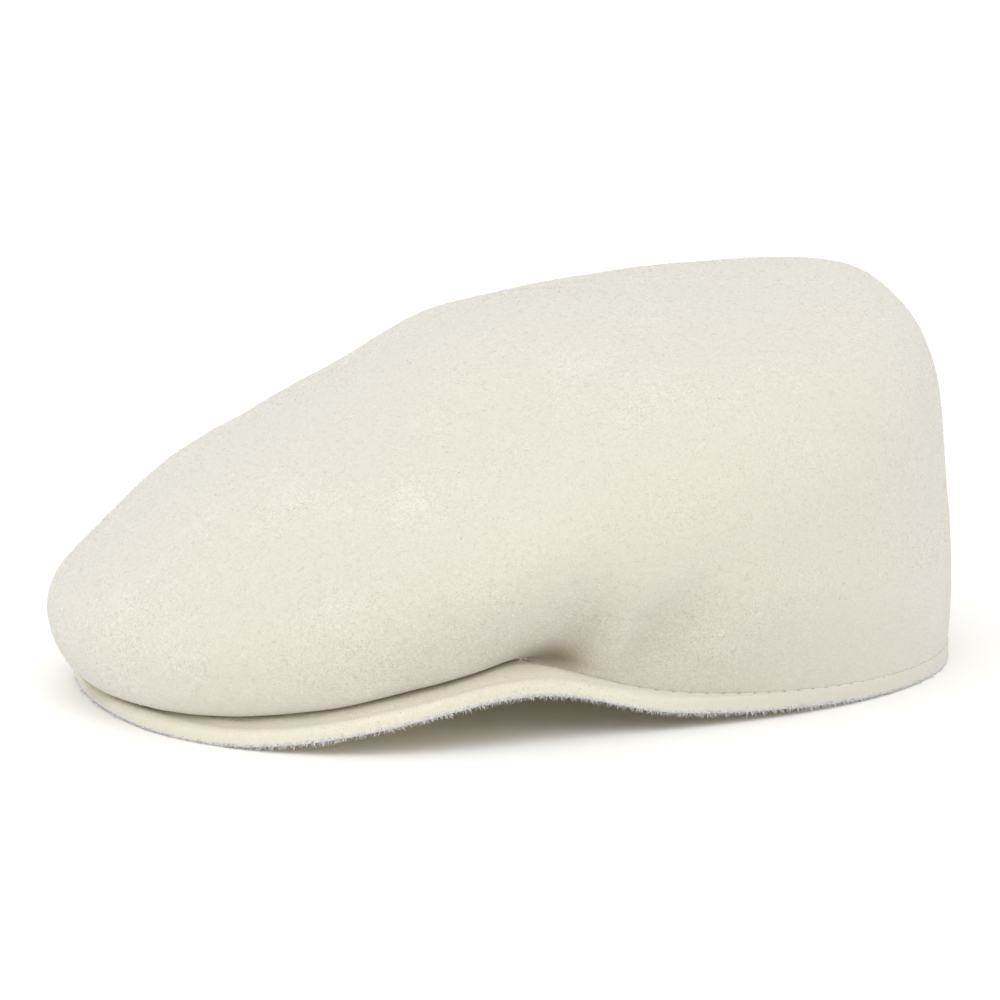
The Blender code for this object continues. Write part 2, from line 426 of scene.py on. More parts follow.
def linear(hex_colour: str) -> tuple[float, float, float, float]:
    """Turns a colour as printed to the linear light that a shader adds up.

    Args:
        hex_colour: an sRGB colour such as "#F0ECDC".

    Returns:
        Red, green, blue and an alpha of 1.
    """
    channels = np.array([int(hex_colour[place : place + 2], 16) for place in (1, 3, 5)]) / 255
    low, high = channels / 12.92, ((channels + 0.055) / 1.055) ** 2.4
    red, green, blue = np.where(channels <= 0.04045, low, high).tolist()
    return red, green, blue, 1.0


def set_inputs(node: bpy.types.Node, inputs: Mapping[str | int, object]) -> bpy.types.Node:
    """Sets and links the inputs of a node, and sets its properties.

    Args:
        node: the node.
        inputs: by the name or number of an input or the name of a property, a value or a node's output.

    Returns:
        The node.
    """
    for name, value in inputs.items():
        if isinstance(value, bpy.types.NodeSocket):
            node.id_data.links.new(value, node.inputs[name])
        elif isinstance(name, int) or name in node.inputs:
            node.inputs[name].default_value = value
        else:
            setattr(node, name, value)
    return node


def add_node(tree: bpy.types.NodeTree, kind: str, inputs: Mapping[str | int, object]) -> bpy.types.Node:
    """Adds a node of a kind to a material's tree, with its settings and links."""
    return set_inputs(tree.nodes.new(kind), inputs)


def new_material(name: str) -> tuple[bpy.types.Material, bpy.types.NodeTree, bpy.types.Node]:
    """Makes a material with a plain shader.

    Args:
        name: the material's name.

    Returns:
        The material, its tree and its shader.
    """
    material = bpy.data.materials.new(name)
    material.use_nodes = True
    return material, material.node_tree, material.node_tree.nodes["Principled BSDF"]


def weighted(
    tree: bpy.types.NodeTree, values: Sequence[bpy.types.NodeSocket], weights: Sequence[float]
) -> bpy.types.NodeSocket:
    """Adds up patterns, each times its weight.

    Args:
        tree: the material's tree.
        values: the patterns.
        weights: a number for each.

    Returns:
        The sum.
    """
    total: bpy.types.NodeSocket | float = 0.0
    for value, weight in zip(values, weights):
        settings = {"operation": "MULTIPLY_ADD", 0: value, 1: weight, 2: total}
        total = add_node(tree, "ShaderNodeMath", settings).outputs[0]
    return total


@dataclass(frozen=True)
class WoolFelt:
    """Pressed wool felt: crimped fibres matted together in steam and shrunk over a mould.

    It gives the eye no gloss at all: a fine mottle of fibres that lie every way, cloudy patches where the
    matting is denser, and a pale bloom where the loose ends of the fibres catch the light side on. Painted
    light makes it paler and creamier on the strip of the peak and rim, most where the overhang shades the
    peak; painted shade makes it greyer towards the foot of the sides, olive in the crease and in the dimple
    behind it, and darker in the needle holes. It is bluish white where it is cut. A single fibre is about
    0.03 mm across, too fine to show, so the mat and its specks are drawn at 0.4 to 0.9 mm.
    """

    name: str
    light: str = "#ECE8DB"
    deep: str = "#D0CBBA"
    # The strip's pair of tones is painted light: paler than the rest, to lift the shade under the overhang.
    painted_light_strip_pale: str = "#FAF5E2"
    painted_light_strip_deep: str = "#EAE4CC"
    # A painted shade, greyer towards the foot of the sides.
    painted_low_shade: str = "#A8A596"
    painted_low_shade_share: float = 0.32
    # Painted olive shade in the crease and in the dimple behind its end.
    crease: str = "#A3944E"
    fleck: str = "#BDB6A2"
    cut: str = "#E4E3E8"
    # Painted shade in the needle holes.
    hole: str = "#B0A993"
    patch_mm: float = 13.0
    zone_mm: float = 34.0
    mat_mm: float = 0.9
    speck_mm: float = 0.42
    fleck_mm: float = 1.9
    curl_mm: float = 1.6
    hole_mm: float = 0.35
    relief_mm: float = 0.13
    noise_roughness: float = 0.6
    # Weights of the patches, the specks and the strands, of the clouds and the painted low shade, and of
    # the specks and the strands in the relief.
    mottle_weights: tuple[float, ...] = (0.2, 0.55, 0.25)
    zone_weights: tuple[float, ...] = (0.6, 0.16)
    relief_weights: tuple[float, ...] = (0.5, 0.5)
    # Each range runs from two values of a pattern to two values of what it drives.
    mottle_range: tuple[float, ...] = (0.3, 0.64, -0.5, 0.5)
    contrast_range: tuple[float, ...] = (0.26, 0.44, 0.06, 0.7)
    fleck_range: tuple[float, ...] = (0.24, 0.42, 0.05, 1.0)
    pit_range: tuple[float, ...] = (0.0, 0.2, 0.9, 0.0)
    strand_range: tuple[float, ...] = (0.0, 0.22, 1.0, 0.0)
    hole_depth: float = 0.8
    roughness: float = 0.95
    specular: float = 0.15
    sheen: float = 0.4
    sheen_roughness: float = 0.5
    sheen_tint: str = "#E6EAFF"

    def made(self) -> bpy.types.Material:
        """Builds the material, its patterns on the object's own coordinates.

        A mottle of patches, specks and strands blends the deep tone and the light one, with a contrast that
        grows in cloudy zones and in the zone of painted low shade. The strip's painted light, the painted low
        shade, the pits, the crease's painted olive shade, the cut and the needle holes' painted shade are
        then laid over it, in that order.

        Returns:
            The material.
        """
        material, tree, shader = new_material(self.name)
        place = add_node(tree, "ShaderNodeTexCoord", {}).outputs["Object"]
        patches, specks, clouds = (
            add_node(
                tree,
                "ShaderNodeTexNoise",
                {
                    "Scale": 1 / (size_mm * MM),
                    "Detail": detail,
                    "Roughness": self.noise_roughness,
                    "Vector": place,
                },
            ).outputs["Fac"]
            for size_mm, detail in ((self.patch_mm, 2.0), (self.speck_mm, 2.0), (self.zone_mm, 1.0))
        )
        painted_low_shade, strip, crease, cut = (
            add_node(tree, "ShaderNodeAttribute", {"attribute_name": name}).outputs["Fac"]
            for name in ("painted_low_shade", "strip", "crease", "cut")
        )
        strands, holes = self.strands(tree, place), self.needle_holes(tree)
        zones = weighted(tree, (clouds, painted_low_shade), self.zone_weights)
        mottle = weighted(tree, (patches, specks, strands), self.mottle_weights)
        mottled, contrast, pitted = (
            add_node(tree, "ShaderNodeMapRange", dict(zip(RAMP, (pattern, *spread)))).outputs["Result"]
            for pattern, spread in (
                (mottle, self.mottle_range),
                (zones, self.contrast_range),
                (zones, self.fleck_range),
            )
        )
        settings = {"operation": "MULTIPLY_ADD", 0: mottled, 1: contrast, 2: 0.5}
        share = add_node(tree, "ShaderNodeMath", settings).outputs[0]
        colour, painted_light_strip_colour = (
            add_node(
                tree,
                "ShaderNodeMix",
                {"data_type": "RGBA", "Factor": share, 6: linear(deep), 7: linear(light)},
            ).outputs[2]
            for deep, light in ((self.deep, self.light), (self.painted_light_strip_deep, self.painted_light_strip_pale))
        )
        # Over the mottle: painted light on the strip, painted shade low on the sides, the flecks, painted
        # olive shade in the crease, the cut, and painted shade in the needle holes.
        layers = (
            (strip, painted_light_strip_colour),
            (weighted(tree, (painted_low_shade,), (self.painted_low_shade_share,)), linear(self.painted_low_shade)),
            (self.flecks(tree, place, pitted), linear(self.fleck)),
            (crease, linear(self.crease)),
            (cut, linear(self.cut)),
            (holes, linear(self.hole)),
        )
        for cover, tone in layers:
            settings = {"data_type": "RGBA", "Factor": cover, 6: colour, 7: tone}
            colour = add_node(tree, "ShaderNodeMix", settings).outputs[2]
        fine = weighted(tree, (specks, strands), self.relief_weights)
        height = add_node(tree, "ShaderNodeMath", {"operation": "SUBTRACT", 0: fine, 1: holes}).outputs[0]
        settings = {"Strength": 1.0, "Distance": self.relief_mm * MM, "Height": height}
        look = {
            "Base Color": colour,
            "Normal": add_node(tree, "ShaderNodeBump", settings).outputs["Normal"],
            "Roughness": self.roughness,
            "Specular IOR Level": self.specular,
            "Sheen Weight": self.sheen,
            "Sheen Roughness": self.sheen_roughness,
            "Sheen Tint": linear(self.sheen_tint),
        }
        set_inputs(shader, look)
        return material

    def strands(self, tree: bpy.types.NodeTree, place: bpy.types.NodeSocket) -> bpy.types.NodeSocket:
        """Thin curling lines like matted fibres: the borders of random cells, on coordinates bent by noise.

        Args:
            tree: the material's tree.
            place: the object's coordinates.

        Returns:
            1 on a strand, falling to 0 beside it.
        """
        curl = self.curl_mm * MM
        settings = {"Scale": 1 / curl, "Detail": 1.0, "Vector": place}
        bend = add_node(tree, "ShaderNodeTexNoise", settings).outputs["Color"]
        settings = {"operation": "MULTIPLY_ADD", 0: bend, 1: (curl,) * 3, 2: place}
        bent = add_node(tree, "ShaderNodeVectorMath", settings).outputs[0]
        settings = {"feature": "DISTANCE_TO_EDGE", "Scale": 1 / (self.mat_mm * MM), "Vector": bent}
        border = add_node(tree, "ShaderNodeTexVoronoi", settings).outputs["Distance"]
        settings = dict(zip(RAMP, (border, *self.strand_range)))
        return add_node(tree, "ShaderNodeMapRange", settings).outputs["Result"]

    def flecks(
        self, tree: bpy.types.NodeTree, place: bpy.types.NodeSocket, pitted: bpy.types.NodeSocket
    ) -> bpy.types.NodeSocket:
        """Tiny dark pits between the fibres, one in each random cell, more of them in the rougher zones.

        Args:
            tree: the material's tree.
            place: the object's coordinates.
            pitted: how strong the pits are at each place.

        Returns:
            1 in a pit, falling to 0 beside it.
        """
        settings = {"Scale": 1 / (self.fleck_mm * MM), "Vector": place}
        away = add_node(tree, "ShaderNodeTexVoronoi", settings).outputs["Distance"]
        settings = dict(zip(RAMP, (away, *self.pit_range)))
        pit = add_node(tree, "ShaderNodeMapRange", settings).outputs["Result"]
        return add_node(tree, "ShaderNodeMath", {"operation": "MULTIPLY", 0: pit, 1: pitted}).outputs[0]

    def needle_holes(self, tree: bpy.types.NodeTree) -> bpy.types.NodeSocket:
        """The small pits that the needle left between the stitches.

        The seam's own map counts stitches along the seam and millimetres across it. A pit's depth falls
        from its most at its middle to 0 at its radius.

        Args:
            tree: the material's tree.

        Returns:
            The depth of the pits, from 0 to 1.
        """
        seam = add_node(tree, "ShaderNodeUVMap", {"uv_map": "seam"}).outputs[0]
        place = add_node(tree, "ShaderNodeSeparateXYZ", {0: seam}).outputs
        value = place["X"]
        steps = (("FRACT", 0.0), ("SUBTRACT", 0.5), ("MULTIPLY", STITCH_PITCH), ("POWER", 2.0))
        for operation, amount in steps:
            settings = {"operation": operation, 0: value, 1: amount}
            value = add_node(tree, "ShaderNodeMath", settings).outputs[0]
        settings = {"operation": "MULTIPLY_ADD", 0: place["Y"], 1: place["Y"], 2: value}
        square = add_node(tree, "ShaderNodeMath", settings).outputs[0]
        away = add_node(tree, "ShaderNodeMath", {"operation": "SQRT", 0: square}).outputs[0]
        settings = dict(zip(RAMP, (away, 0.0, self.hole_mm, self.hole_depth, 0.0)))
        return add_node(tree, "ShaderNodeMapRange", settings).outputs["Result"]


@dataclass(frozen=True)
class LooseWool:
    """Wool fibres that stand out of the felt, paler than the mat because light passes through them."""

    name: str
    pale: str = "#FFFCF2"
    dark: str = "#CEC8B7"
    glow: float = 0.25
    roughness: float = 0.85
    specular: float = 0.2

    def made(self) -> bpy.types.Material:
        """Builds the material, each fibre with its own tone between the dark and the pale.

        Returns:
            The material.
        """
        material, tree, shader = new_material(self.name)
        tone = add_node(tree, "ShaderNodeAttribute", {"attribute_name": "tone"}).outputs["Fac"]
        settings = {"data_type": "RGBA", "Factor": tone, 6: linear(self.dark), 7: linear(self.pale)}
        colour = add_node(tree, "ShaderNodeMix", settings).outputs[2]
        look = {
            "Base Color": colour,
            "Roughness": self.roughness,
            "Specular IOR Level": self.specular,
            "Sheen Weight": self.glow,
        }
        set_inputs(shader, look)
        return material


@dataclass(frozen=True)
class SpunThread:
    """Two-ply sewing thread of the felt's own cream: soft and matt, so that only its shadows pick it out."""

    name: str
    colour: str = "#E4DFCE"
    roughness: float = 0.7
    specular: float = 0.3
    sheen: float = 0.2

    def made(self) -> bpy.types.Material:
        """Builds the material, one even colour all over.

        Returns:
            The material.
        """
        material, _, shader = new_material(self.name)
        look = {
            "Base Color": linear(self.colour),
            "Roughness": self.roughness,
            "Specular IOR Level": self.specular,
            "Sheen Weight": self.sheen,
        }
        set_inputs(shader, look)
        return material


@dataclass
class Grid:
    """A surface as a grid of points: the first axis goes round the head and the second along the felt.

    The density, where there is one, says how many fibres grow at each point against the plain felt.
    """

    points: np.ndarray
    wraps: bool
    density: np.ndarray | None = None

    def quads(self) -> np.ndarray:
        """Numbers the corners of the grid's patches.

        Returns:
            Four indices of points for each patch.
        """
        columns, rows = self.points.shape[:2]
        last = columns if self.wraps else columns - 1
        here = np.arange(last)[:, None] * rows + np.arange(rows - 1)[None, :]
        there = (np.arange(last)[:, None] + 1) % columns * rows + np.arange(rows - 1)[None, :]
        return np.stack((here, here + 1, there + 1, there), axis=-1).reshape(-1, 4)


def volume_within(points: np.ndarray, groups: Sequence[np.ndarray]) -> float:
    """Adds up a corner's dot product with the cross product of the two others, over each face's triangles.

    Args:
        points: the vertices.
        groups: arrays of faces, each array with faces of one number of corners.

    Returns:
        Six times the volume that the faces enclose, below 0 if they face inwards.
    """
    total = 0.0
    for faces in groups:
        for turn in range(1, faces.shape[1] - 1):
            a, b, c = points[faces[:, 0]], points[faces[:, turn]], points[faces[:, turn + 1]]
            total += float(np.einsum("ij,ij->i", a, np.cross(b, c)).sum())
    return total


def new_piece(
    name: str,
    points: np.ndarray,
    groups: Sequence[np.ndarray],
    material: bpy.types.Material,
    closed: bool = True,
) -> bpy.types.Object:
    """Makes a smooth object of points and faces, at the origin.

    Args:
        name: the piece's name.
        points: its vertices in metres.
        groups: arrays of faces, each array with faces of one number of corners.
        material: its finish.
        closed: whether the faces enclose a solid, which are then turned outwards.

    Returns:
        The object, linked to the scene.
    """
    if closed and volume_within(points, groups) < 0:
        groups = [faces[:, ::-1] for faces in groups]
    corners = np.concatenate([faces.ravel() for faces in groups])
    counts = np.concatenate([np.full(len(faces), faces.shape[1]) for faces in groups])
    mesh = bpy.data.meshes.new(name)
    mesh.vertices.add(len(points))
    mesh.vertices.foreach_set("co", points.astype(np.float32).ravel())
    mesh.loops.add(len(corners))
    mesh.loops.foreach_set("vertex_index", corners.astype(np.int32))
    mesh.polygons.add(len(counts))
    mesh.polygons.foreach_set("loop_start", (np.cumsum(counts) - counts).astype(np.int32))
    mesh.update(calc_edges=True)
    mesh.shade_smooth()
    mesh.materials.append(material)
    piece = bpy.data.objects.new(name, mesh)
    bpy.context.scene.collection.objects.link(piece)
    return piece


def mark_vertices(piece: bpy.types.Object, name: str, values: np.ndarray) -> None:
    """Stores a value for each vertex, which the material reads by its name."""
    attribute = piece.data.attributes.new(name, "FLOAT", "POINT")
    attribute.data.foreach_set("value", values.astype(np.float32).ravel())


def map_seam(piece: bpy.types.Object, along: np.ndarray, across: np.ndarray, wrap_at: float) -> None:
    """Gives each corner of each face its place along and across the stitched seam.

    Args:
        piece: the object, whose vertices the two arrays follow.
        along: stitches counted along the seam, for each vertex.
        across: millimetres from the seam, for each vertex.
        wrap_at: the count at which the seam meets itself again.
    """
    mesh = piece.data
    index = np.empty(len(mesh.loops), np.int32)
    mesh.loops.foreach_get("vertex_index", index)
    starts = np.empty(len(mesh.polygons), np.int32)
    mesh.polygons.foreach_get("loop_start", starts)
    counts = np.diff(np.append(starts, len(index)))
    corner = along[index]
    highest = np.repeat(np.maximum.reduceat(corner, starts), counts)
    corner = np.where(highest - corner > wrap_at / 2, corner + wrap_at, corner)
    layer = mesh.uv_layers.new(name="seam")
    layer.data.foreach_set("uv", np.stack((corner, across[index]), axis=1).astype(np.float32).ravel())


@dataclass
class Crown:
    """The moulded crown: one shell of felt, with the rim and its raw edge behind the peak."""

    shape: CapShape
    columns: int = 396
    rows_per_point: int = 20
    inner_rows: int = 40
    relief: tuple[SoftNoise, ...] = (
        SoftNoise(34.0, 0.5, 3),
        SoftNoise(15.0, 0.22, 5),
        SoftNoise(6.0, 0.07, 7),
    )
    relief_start: float = 1.5
    press_least: float = 0.02
    foot_sink: float = 0.45
    sink_from: tuple[float, float] = (49.5, 2.0)
    rim_start: float = 3.45
    rim_tuck: float = 0.25
    tuck_fade: tuple[float, float] = (3.6, 0.25)
    groove: float = 0.15
    groove_rise: tuple[float, float] = (62.0, 6.0)
    groove_fall: tuple[float, float] = (105.0, 30.0)
    groove_lost: float = 0.8
    ledge_rows: int = 9
    corner_from: float = 15.0
    corner_rows: int = 6
    face_shares: tuple[float, ...] = (0.25, 0.5, 0.75, 1.0)
    under_shares: tuple[float, ...] = (0.35, 0.7, 1.0)
    cut_depth: float = 0.9
    # How the strip's painted light fades out behind the peak.
    strip_fade: tuple[float, float] = (62.0, 34.0)
    # Painted shade, greyer towards the foot of the sides, where the nap is also thicker.
    painted_low_shade_bell: Bell = Bell(1.0, 72.0, 38.0)
    painted_low_shade_height: float = 38.0
    low_shade_nap: float = 3.0
    # Painted olive shade in the dimple behind the crease's end.
    hollow_shade: Bell = Bell(0.45, 53.5, 4.5)
    hollow_shade_height: float = 9.0

    def wall_relief(self, points: np.ndarray, inward: np.ndarray, fade: np.ndarray) -> np.ndarray:
        """Moves the wall in and out by the soft unevenness of hand-blocked felt.

        Args:
            points: the outer wall.
            inward: its normals into the cap.
            fade: how much of the relief each point takes.

        Returns:
            The wall with three layers of soft noise, and with bells that raise or flatten the top where the
            blocking was uneven.
        """
        total = sum(noise.at(points) for noise in self.relief)
        for row in SWELLS:
            swell = dict(zip(SWELL_COLUMNS, row))
            away = np.hypot(points[..., 0] / MM - swell["x"], points[..., 1] / MM - swell["y"])
            total += Bell(swell["rise"], 0.0, swell["reach"]).at(away)
        return points - inward * (total * fade)[..., None] * MM

    def above_peak(self, points: np.ndarray, sizes: Sizes) -> np.ndarray:
        """Lifts the points that would sink into the peak.

        Args:
            points: the outer or inner face of the wall.
            sizes: the named sizes of each column.

        Returns:
            The points, those over the peak no lower than its upper face.
        """
        centred = points - np.array((0, self.shape.head_centre_y, 0)) * MM
        radius = np.hypot(centred[..., 0], centred[..., 1]) / MM
        reach = eased(radius, sizes["foot_r"][:, None], self.shape.lip_gap_reach)
        gap = self.shape.seat_gap + self.shape.lip_gap * reach
        floor = (self.shape.top_height(sizes, radius) + gap) * MM
        over = (np.abs(sizes["step"]) < self.rim_start)[:, None] & (radius < sizes["edge_r"][:, None])
        lifted = points.copy()
        lifted[..., 2] = np.where(over, np.maximum(points[..., 2], floor), points[..., 2])
        return lifted

    def rim_profile(self, sizes: Sizes) -> tuple[np.ndarray, np.ndarray]:
        """The rim from the stitch line out over the ledge, down the raw edge and in along the bottom.

        Where the rim starts it is a little smaller all round, so that it comes out of the peak's end with no
        step. The seam lies in a shallow groove. Its depth falls outwards by the fourth power of what is left
        of the ledge, and the groove fades out behind.

        Args:
            sizes: the named sizes of each column.

        Returns:
            Radius and height of each row.
        """
        shape = self.shape
        tuck = self.rim_tuck * (1 - eased(np.abs(sizes["step"]), *self.tuck_fade))[:, None]
        turn = np.abs(sizes["degrees"])[:, None]
        groove = self.groove * eased(turn, *self.groove_rise)
        groove = groove * (1 - self.groove_lost * eased(turn, *self.groove_fall))
        share = np.linspace(0, 1, self.ledge_rows)[None, :]
        start = sizes["foot_r"][:, None] - groove
        stop = sizes["edge_r"][:, None] - shape.edge_rounding(sizes)[0]
        ledge_r = start + (stop - start) * share
        ledge_z = shape.top_height(sizes, ledge_r) - tuck - groove * (1 - share) ** 4
        bottom = sizes["edge_z"][:, None] + tuck
        turns = np.linspace(self.corner_from, 90, self.corner_rows)
        cut_r, cut_z = shape.raw_edge(sizes, tuck, bottom, turns, self.face_shares)
        end = sizes["foot_r"][:, None] - shape.felt
        under_r = cut_r[:, -1:] + (end - cut_r[:, -1:]) * np.array(self.under_shares)[None, :]
        return np.hstack((ledge_r, cut_r, under_r)), np.hstack((ledge_z, cut_z, bottom + 0 * under_r))

    def build(self, material: bpy.types.Material) -> tuple[bpy.types.Object, Grid]:
        """Makes the crown's mesh.

        Each column runs down the outer wall, out along the rim, round its raw edge and in, and back up the
        inner wall. Above the peak a plain cut end takes the rim's place. A point at the pole closes each
        face.

        Args:
            material: the felt.

        Returns:
            The object, and the part of its outer face that shows, as a grid.
        """
        shape = self.shape
        limit = len(RIM) - 1
        sizes = shape.sections(np.linspace(-limit, limit, self.columns, endpoint=False))
        is_rim = np.abs(sizes["step"]) >= self.rim_start
        radius, height = shape.wall(sizes, self.rows_per_point)
        plain = shape.placed(sizes["angle"][:, None], radius, height)
        inward = shape.inward(plain)
        wall_rows = plain.shape[1]
        fade = eased(np.arange(wall_rows), 0, self.rows_per_point * self.relief_start)[None, :]
        free = self.wall_relief(plain, inward, fade)
        outer = self.above_peak(free, sizes)
        pressed = outer[..., 2] > free[..., 2] + self.press_least * MM
        outer[:, 0, 2] -= self.foot_sink * eased(np.abs(sizes["degrees"]), *self.sink_from) * ~is_rim * MM
        pick = np.linspace(0, wall_rows - 1, self.inner_rows).round().astype(int)
        inner = self.above_peak((plain + inward * shape.felt * MM)[:, pick], sizes)
        rim_r, rim_z = self.rim_profile(sizes)
        rim = shape.placed(sizes["angle"][:, None], rim_r, rim_z)
        share = (np.arange(rim.shape[1]) + 1)[None, :, None] / (rim.shape[1] + 1)
        cut_end = outer[:, :1] + (inner[:, :1] - outer[:, :1]) * share
        rim = np.where(is_rim[:, None, None], rim, cut_end)
        grid = Grid(np.concatenate((outer[:, ::-1], rim, inner), axis=1), wraps=True)
        columns, rows = grid.points.shape[:2]
        pole = np.array((0, shape.head_centre_y, shape.pole_height)) * MM
        poles = np.stack((grid.points[:, 0].mean(axis=0), pole - (0, 0, shape.felt * MM)))
        points = np.concatenate((grid.points.reshape(-1, 3), poles))
        here = np.arange(columns) * rows
        there = np.roll(here, -1)
        top = np.stack((np.full(columns, columns * rows), here, there), axis=1)
        inside = np.stack((np.full(columns, columns * rows + 1), there + rows - 1, here + rows - 1), axis=1)
        piece = new_piece("crown_felt", points, (grid.quads(), np.concatenate((top, inside))), material)
        tones = self.tones(grid, pressed, (rim_r, rim_z), sizes)
        for name, values in tones.items():
            mark_vertices(piece, name, np.append(values.ravel(), (0, 0)))
        self.map_stitches(piece, grid, (wall_rows, wall_rows + rim.shape[1]), sizes)
        show = slice(2 * self.rows_per_point, None)
        density = 1 + self.low_shade_nap * tones["painted_low_shade"][:, :wall_rows][:, ::-1][:, show]
        return piece, Grid(outer[:, show], wraps=True, density=density)

    def tones(
        self, grid: Grid, pressed: np.ndarray, rim_places: tuple[np.ndarray, np.ndarray], sizes: Sizes
    ) -> Sizes:
        """Works out where the felt is cut, and where light or shade is painted on it: on the strip, low on
        the sides and in the crease.

        The painted low shade is a bell of the angle, fading out from the foot up the wall. Behind the
        crease's end lies a smaller bell in the dimple, painted with the crease's olive shade.

        Args:
            grid: all of its points but the two poles.
            pressed: which points of the outer wall, a row for each column from the foot up, rest on the peak.
            rim_places: the radii and heights of the rim's rows.
            sizes: the named sizes of each column.

        Returns:
            By the name that the material reads, how much of each there is at each point of the grid.
        """
        rim_r, rim_z = rim_places
        edge_r, edge_z, foot_z = (sizes[name][:, None] for name in ("edge_r", "edge_z", "foot_z"))
        turn = np.abs(sizes["degrees"])[:, None]
        wall_rows = pressed.shape[1]
        rim = slice(wall_rows, wall_rows + rim_z.shape[1])
        tones = {name: np.zeros(grid.points.shape[:2]) for name in ("cut", "strip", "painted_low_shade", "crease")}
        low = 1 - eased(rim_z, edge_z, self.shape.cut_height)
        on_cut = (np.abs(sizes["step"]) >= self.rim_start)[:, None] & (rim_r > edge_r - self.cut_depth)
        tones["cut"][:, rim] = np.where(on_cut, low, 0)
        # Painted light on the rim's strip, fading out behind the peak.
        tones["strip"][:, rim] = Peak.outer_painted_light * (1 - eased(turn, *self.strip_fade))
        rise = (grid.points[..., 2] / MM - foot_z)[:, :wall_rows]
        # Painted shade, greyer towards the foot of the sides.
        tones["painted_low_shade"][:, :wall_rows] = self.painted_low_shade_bell.at(turn) * (1 - eased(rise, 0, self.painted_low_shade_height))
        # Painted olive shade where the wall rests on the peak and in the dimple behind the crease's end.
        hollow_shade = self.hollow_shade.at(turn) * (1 - eased(rise, 0, self.hollow_shade_height))
        tones["crease"][:, :wall_rows] = np.maximum(pressed[:, ::-1], hollow_shade)
        return tones

    def map_stitches(
        self, piece: bpy.types.Object, grid: Grid, rim_rows: tuple[int, int], sizes: Sizes
    ) -> None:
        """Counts the stitches along the seam, for the needle holes.

        Args:
            piece: the crown's object.
            grid: all of its points but the two poles.
            rim_rows: the first row of the rim and the row after its last.
            sizes: the named sizes of each column.
        """
        line = grid.points[:, rim_rows[0] - 1]
        gaps = np.linalg.norm(np.roll(line, -1, axis=0) - line, axis=1) / MM
        stitches = round(gaps.sum() / STITCH_PITCH)
        along = np.concatenate(([0], np.cumsum(gaps)[:-1])) / gaps.sum() * stitches
        across = np.linalg.norm(grid.points - line[:, None], axis=2) / MM
        across += np.where(np.abs(sizes["step"]) < Seam.first_step, OFF_SEAM, 0.0)[:, None]
        across[:, rim_rows[1] :] += OFF_SEAM
        along = np.append(np.repeat(along, grid.points.shape[1]), (0, 0))
        map_seam(piece, along, np.append(across.ravel(), (OFF_SEAM, OFF_SEAM)), stitches)


